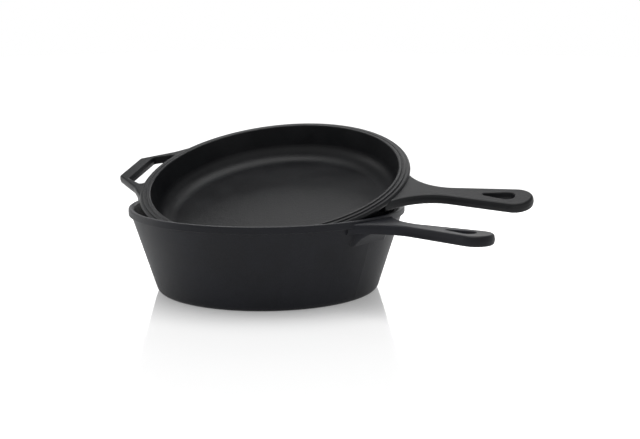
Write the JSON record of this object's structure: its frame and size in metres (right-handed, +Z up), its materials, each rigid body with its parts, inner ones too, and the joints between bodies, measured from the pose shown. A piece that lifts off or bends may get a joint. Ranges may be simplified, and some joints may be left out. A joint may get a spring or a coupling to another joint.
{
  "type": "cast iron pot with skillet lid",
  "caption": "Deep cast iron pot with a long handle and a helper handle, and a shallow skillet that serves as its lid, leaning in the pot's mouth.",
  "frame": {"origin": "centre of the pot's flat base, on the pot's axis", "axes": "+Z up along the pot's axis, +X along the pot's long handle"},
  "size_m": [0.417, 0.2692, 0.1479],
  "materials": {
    "pot": "matte",
    "skillet_lid": "matte"
  },
  "bodies": {
    "pot_body": {"pot": "pot"},
    "lid_body": {"skillet_lid": "skillet_lid"}
  },
  "joints": [
    {"name": "lid_lift", "type": "slide", "parent": "pot_body", "child": "lid_body", "axis": [0, 0, 1], "range_m": [0, 0.12]}
  ]
}
